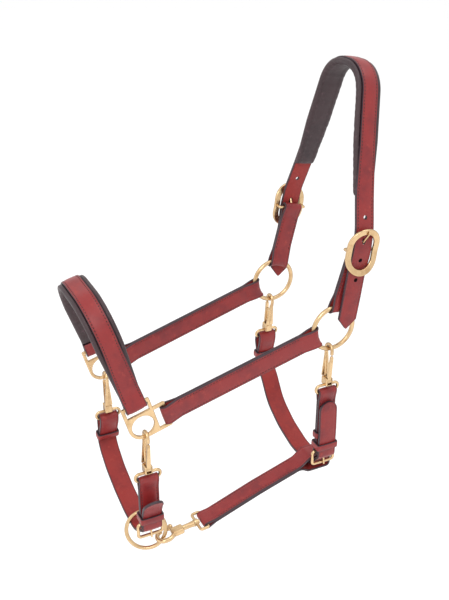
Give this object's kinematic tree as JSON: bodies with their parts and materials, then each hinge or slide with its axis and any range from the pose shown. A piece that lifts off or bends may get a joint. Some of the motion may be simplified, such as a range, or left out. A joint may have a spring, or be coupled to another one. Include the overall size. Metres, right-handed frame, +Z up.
{
  "type": "leather headcollar",
  "caption": "Leather headcollar with padded headpiece and noseband, brass rings, buckles and snaps, and a chin and throat part that clips on and carries the lead ring.",
  "frame": {"origin": "underside of the padded headpiece at its top, on the middle plane, where it rests on the poll", "axes": "+X is the horse's left side, the nose faces -Y, +Z is up"},
  "size_m": [0.188, 0.3742, 0.5741],
  "materials": {
    "strap_leather": "satin",
    "padded_lining": "soft",
    "brass": "polished, lightly worn",
    "spring_steel": "plain"
  },
  "bodies": {
    "headcollar": {"headpiece_strap": "strap_leather", "headpiece_lining": "padded_lining", "left_headpiece_buckle": "brass", "right_headpiece_buckle": "brass", "left_buckle_chape": "strap_leather", "right_buckle_chape": "strap_leather", "left_cheek_strap": "strap_leather", "right_cheek_strap": "strap_leather", "left_square": "brass", "right_square": "brass", "noseband_strap": "strap_leather", "noseband_lining": "padded_lining"},
    "left_ring": {"left_cheek_ring": "brass"},
    "right_ring": {"right_cheek_ring": "brass"},
    "left_head_tongue": {"left_headpiece_buckle_tongue": "brass"},
    "right_head_tongue": {"right_headpiece_buckle_tongue": "brass"},
    "throat": {"throat_strap": "strap_leather", "throat_chape": "strap_leather", "throat_buckle": "brass", "throat_keeper": "strap_leather", "left_throat_snap": "brass", "left_throat_snap_pin": "brass", "left_throat_snap_spring": "spring_steel", "right_throat_snap": "brass", "right_throat_snap_pin": "brass", "right_throat_snap_spring": "spring_steel"},
    "throat_tongue": {"throat_buckle_tongue": "brass"},
    "throat_loose_loop": {"throat_loose_keeper": "strap_leather"},
    "throat_fold_loop": {"throat_strap_keeper": "strap_leather"},
    "left_throat_gate": {"left_throat_snap_gate": "brass"},
    "right_throat_gate": {"right_throat_snap_gate": "brass"},
    "chin": {"chin_strap": "strap_leather", "chin_chape": "strap_leather", "chin_buckle": "brass", "chin_keeper": "strap_leather", "left_chin_snap": "brass", "left_chin_snap_pin": "brass", "left_chin_snap_spring": "spring_steel", "right_chin_snap": "brass", "right_chin_snap_pin": "brass", "right_chin_snap_spring": "spring_steel"},
    "chin_tongue": {"chin_buckle_tongue": "brass"},
    "chin_fold_loop": {"chin_strap_keeper": "strap_leather"},
    "left_chin_gate": {"left_chin_snap_gate": "brass"},
    "right_chin_gate": {"right_chin_snap_gate": "brass"},
    "jaw": {"jaw_strap": "strap_leather", "jaw_snap_eye": "brass"},
    "jaw_hook": {"jaw_snap": "brass", "jaw_snap_pin": "brass"},
    "jaw_gate": {"jaw_snap_gate": "brass"},
    "lead": {"lead_ring": "brass"}
  },
  "joints": [
    {"name": "left_ring_spin", "type": "hinge", "parent": "headcollar", "child": "left_ring", "pos_m": [0.075, -0.05497, -0.29156], "axis": [1, 0, 0], "continuous": true},
    {"name": "right_ring_spin", "type": "hinge", "parent": "headcollar", "child": "right_ring", "pos_m": [-0.075, -0.05497, -0.29156], "axis": [1, 0, 0], "continuous": true},
    {"name": "left_head_tongue_lift", "type": "hinge", "parent": "headcollar", "child": "left_head_tongue", "pos_m": [0.077, -0.02879, -0.19266], "axis": [0, 0.989, -0.1478], "range_deg": [0, 5]},
    {"name": "right_head_tongue_lift", "type": "hinge", "parent": "headcollar", "child": "right_head_tongue", "pos_m": [-0.077, -0.02879, -0.19266], "axis": [0, -0.989, 0.1478], "range_deg": [0, 5]},
    {"name": "throat_swing", "type": "hinge", "parent": "headcollar", "child": "throat", "pos_m": [0, -0.05497, -0.29156], "axis": [1, 0, 0], "range_deg": [-5, 5]},
    {"name": "chin_swing", "type": "hinge", "parent": "headcollar", "child": "chin", "pos_m": [0, -0.30024, -0.36097], "axis": [1, 0, 0], "range_deg": [-5.27, 5.27]},
    {"name": "jaw_hinge", "type": "hinge", "parent": "throat", "child": "jaw", "pos_m": [0.054, -0.05847, -0.49476], "axis": [1, 0, 0], "range_deg": [-5.74, 5.74]},
    {"name": "jaw_swivel", "type": "hinge", "parent": "jaw", "child": "jaw_hook", "pos_m": [0.054, -0.27365, -0.54704], "axis": [0, 0.9929, 0.1191], "range_deg": [-4, 4]},
    {"name": "lead_spin", "type": "hinge", "parent": "chin", "child": "lead", "pos_m": [0.04333, -0.29337, -0.53717], "axis": [0.8934, -0.3323, 0.3024], "continuous": true},
    {"name": "throat_tongue_lift", "type": "hinge", "parent": "throat", "child": "throat_tongue", "pos_m": [0.075, -0.05847, -0.46856], "axis": [0, -1, 0], "range_deg": [0, 5]},
    {"name": "chin_tongue_lift", "type": "hinge", "parent": "chin", "child": "chin_tongue", "pos_m": [0.0712, -0.29744, -0.50157], "axis": [0, -1, 0], "range_deg": [0, 5]},
    {"name": "throat_loose_loop_slide", "type": "slide", "parent": "throat", "child": "throat_loose_loop", "axis": [0, 0, 1], "range_m": [-0.004, 0.004]},
    {"name": "throat_fold_loop_slide", "type": "slide", "parent": "throat", "child": "throat_fold_loop", "axis": [0.1036, 0, 0.9946], "range_m": [-0.0015, 0.0015]},
    {"name": "chin_fold_loop_slide", "type": "slide", "parent": "chin", "child": "chin_fold_loop", "axis": [0.2772, 0, 0.9608], "range_m": [-0.0015, 0.0015]},
    {"name": "left_throat_gate_open", "type": "hinge", "parent": "throat", "child": "left_throat_gate", "pos_m": [0.0779, -0.05847, -0.36434], "axis": [0, -1, 0], "range_deg": [0, 12], "stiffness_Nm_per_rad": 0.02, "springref_deg": -17.19},
    {"name": "right_throat_gate_open", "type": "hinge", "parent": "throat", "child": "right_throat_gate", "pos_m": [-0.08498, -0.05847, -0.36332], "axis": [0, 1, 0], "range_deg": [0, 12], "stiffness_Nm_per_rad": 0.02, "springref_deg": -17.19},
    {"name": "left_chin_gate_open", "type": "hinge", "parent": "chin", "child": "left_chin_gate", "pos_m": [0.0741, -0.29744, -0.42171], "axis": [0, -1, 0], "range_deg": [0, 12], "stiffness_Nm_per_rad": 0.02, "springref_deg": -17.19},
    {"name": "right_chin_gate_open", "type": "hinge", "parent": "chin", "child": "right_chin_gate", "pos_m": [-0.0741, -0.29744, -0.42171], "axis": [0, 1, 0], "range_deg": [0, 12], "stiffness_Nm_per_rad": 0.02, "springref_deg": -17.19},
    {"name": "jaw_gate_open", "type": "hinge", "parent": "jaw_hook", "child": "jaw_gate", "pos_m": [0.0508, -0.25628, -0.54495], "axis": [0, -0.1191, 0.9929], "range_deg": [0, 12], "stiffness_Nm_per_rad": 0.01, "springref_deg": -17.19}
  ],
  "couplings": [
    {"joint": "chin_swing", "follows": "throat_swing", "ratio": 1.051},
    {"joint": "jaw_hinge", "follows": "throat_swing", "ratio": -1.1461}
  ]
}
